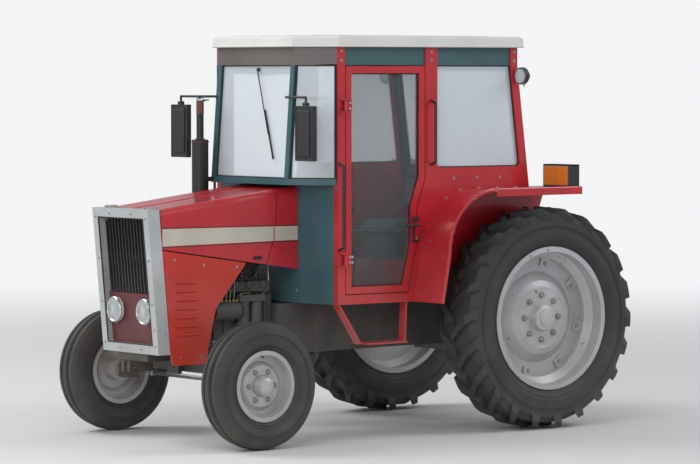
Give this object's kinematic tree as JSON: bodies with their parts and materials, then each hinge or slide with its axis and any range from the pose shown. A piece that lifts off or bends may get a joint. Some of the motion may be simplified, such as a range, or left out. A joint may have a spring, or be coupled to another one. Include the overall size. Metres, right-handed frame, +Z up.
{
  "type": "farm tractor",
  "caption": "Two-wheel-drive farm tractor with a square glazed cab, sloping bonnet, open-sided engine, tall framed nose, flat fenders and a rear three-point linkage.",
  "frame": {"origin": "on the ground, at the middle of the bounding box in plan", "axes": "+X forward, +Y the tractor's left, +Z up"},
  "size_m": [3.7119, 1.99, 2.6],
  "materials": {
    "paint": "gloss",
    "silver": "satin",
    "teal": "satin",
    "roof_white": "satin",
    "cast": "rough",
    "dark_paint": "satin",
    "tyre": "rough",
    "glass": "clear",
    "black_plastic": "matte",
    "seat_cover": "satin",
    "lamp": "gloss",
    "steel": "satin",
    "lining": "matte"
  },
  "bodies": {
    "chassis": {"engine": "cast", "transmission": "cast", "axle_housings": "cast", "front_support": "dark_paint", "front_axle": "dark_paint", "radiator": "dark_paint", "fuel_tank": "dark_paint", "cowl": "paint", "nose_frame": "silver", "nose_panel": "paint", "grille": "dark_paint", "side_panels": "paint", "fenders": "paint", "cab_sides": "paint", "cab_floor": "paint", "cab_header": "teal", "cab_roof": "roof_white", "cab_front": "teal", "cab_rear": "teal", "cab_glass": "glass", "dash": "lining", "seat_base": "dark_paint", "seat": "seat_cover", "exhaust": "black_plastic", "mirrors": "black_plastic", "lamps": "lamp", "hitch_frame": "dark_paint", "top_link": "dark_paint"},
    "bonnet": {"bonnet": "paint"},
    "door_left": {"door_left": "paint", "door_glass_left": "glass"},
    "door_right": {"door_right": "paint", "door_glass_right": "glass"},
    "rear_wheel_left": {"tyre_rear_left": "tyre", "wheel_rear_left": "silver"},
    "rear_wheel_right": {"tyre_rear_right": "tyre", "wheel_rear_right": "silver"},
    "knuckle_left": {"knuckle_left": "dark_paint"},
    "knuckle_right": {"knuckle_right": "dark_paint"},
    "tie_rod": {"tie_rod": "steel"},
    "front_wheel_left": {"tyre_front_left": "tyre", "wheel_front_left": "silver"},
    "front_wheel_right": {"tyre_front_right": "tyre", "wheel_front_right": "silver"},
    "steering_wheel": {"steering_wheel": "black_plastic"},
    "lift_arms": {"lift_arms": "dark_paint"},
    "lift_rods": {"lift_rods": "steel"},
    "lower_links": {"lower_links": "dark_paint"}
  },
  "joints": [
    {"name": "rear_wheel_left_spin", "type": "hinge", "parent": "chassis", "child": "rear_wheel_left", "pos_m": [-0.935, 0.82, 0.7375], "axis": [0, 1, 0], "continuous": true},
    {"name": "rear_wheel_right_spin", "type": "hinge", "parent": "chassis", "child": "rear_wheel_right", "pos_m": [-0.935, -0.82, 0.7375], "axis": [0, 1, 0], "continuous": true},
    {"name": "steer_left", "type": "hinge", "parent": "chassis", "child": "knuckle_left", "pos_m": [1.351, 0.64, 0.4025], "axis": [0, 0, 1], "range_deg": [-45, 45]},
    {"name": "steer_right", "type": "hinge", "parent": "chassis", "child": "knuckle_right", "pos_m": [1.351, -0.64, 0.4025], "axis": [0, 0, 1], "range_deg": [-45, 45]},
    {"name": "tie_rod_pivot", "type": "hinge", "parent": "knuckle_left", "child": "tie_rod", "pos_m": [1.161, 0.64, 0.378], "axis": [0, 0, 1], "range_deg": [-45, 45]},
    {"name": "front_wheel_left_spin", "type": "hinge", "parent": "knuckle_left", "child": "front_wheel_left", "pos_m": [1.351, 0.8, 0.4025], "axis": [0, 1, 0], "continuous": true},
    {"name": "front_wheel_right_spin", "type": "hinge", "parent": "knuckle_right", "child": "front_wheel_right", "pos_m": [1.351, -0.8, 0.4025], "axis": [0, 1, 0], "continuous": true},
    {"name": "steering_wheel_turn", "type": "hinge", "parent": "chassis", "child": "steering_wheel", "pos_m": [0.23, 0, 1.5], "axis": [-0.5736, 0, 0.8192], "range_deg": [-630, 630]},
    {"name": "door_left_hinge", "type": "hinge", "parent": "chassis", "child": "door_left", "pos_m": [0.563, 0.68, 1.6], "axis": [0, 0, -1], "range_deg": [0, 70]},
    {"name": "door_right_hinge", "type": "hinge", "parent": "chassis", "child": "door_right", "pos_m": [0.563, -0.68, 1.6], "axis": [0, 0, 1], "range_deg": [0, 70]},
    {"name": "bonnet_tilt", "type": "hinge", "parent": "chassis", "child": "bonnet", "pos_m": [1.746, 0, 1.508], "axis": [0, 1, 0], "range_deg": [0, 60]},
    {"name": "lift", "type": "hinge", "parent": "chassis", "child": "lift_arms", "pos_m": [-1.2, 0, 1.03], "axis": [0, 1, 0], "range_deg": [-8, 45]},
    {"name": "lower_links_swing", "type": "hinge", "parent": "chassis", "child": "lower_links", "pos_m": [-1.06, 0, 0.47], "axis": [0, 1, 0], "range_deg": [-6, 32]},
    {"name": "lift_rods_swing", "type": "hinge", "parent": "lift_arms", "child": "lift_rods", "pos_m": [-1.46, 0, 0.97], "axis": [0, 1, 0], "range_deg": [-47, 9]}
  ],
  "couplings": [
    {"joint": "steer_right", "follows": "steer_left", "ratio": 1},
    {"joint": "tie_rod_pivot", "follows": "steer_left", "ratio": -1},
    {"joint": "steering_wheel_turn", "follows": "steer_left", "ratio": 14},
    {"joint": "lower_links_swing", "follows": "lift", "ratio": 0.6983},
    {"joint": "lift_rods_swing", "follows": "lift", "ratio": -1.0219}
  ]
}
